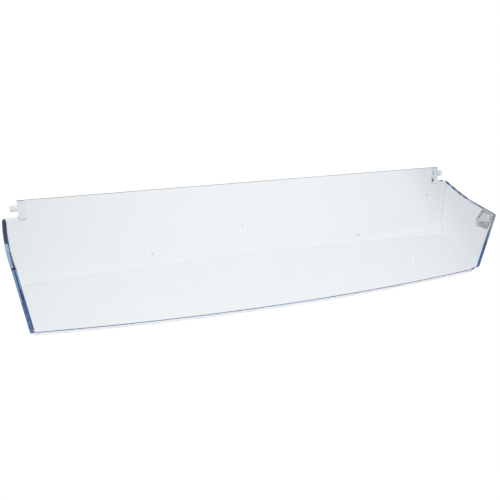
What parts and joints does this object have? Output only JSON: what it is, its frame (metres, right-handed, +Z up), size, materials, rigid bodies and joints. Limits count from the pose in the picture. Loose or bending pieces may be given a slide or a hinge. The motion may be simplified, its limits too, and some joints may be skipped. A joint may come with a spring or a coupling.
{
  "type": "refrigerator butter compartment lid",
  "caption": "Clear moulded flap for a refrigerator door compartment: upright hinge panel with pin lugs, bowed front panel and leaning end walls.",
  "frame": {"origin": "middle of the lid's length and depth, on the surface that its front panel lies on", "axes": "+X along the lid towards the end wall with the boss, +Y from the bowed front edge to the hinge edge, +Z up from the front panel"},
  "size_m": [0.4286, 0.1063, 0.0655],
  "materials": {
    "clear_plastic": "clear, faintly blue, polished as moulded, with blue cut edges"
  },
  "bodies": {
    "root": {"lid": "clear_plastic"}
  },
  "joints": []
}
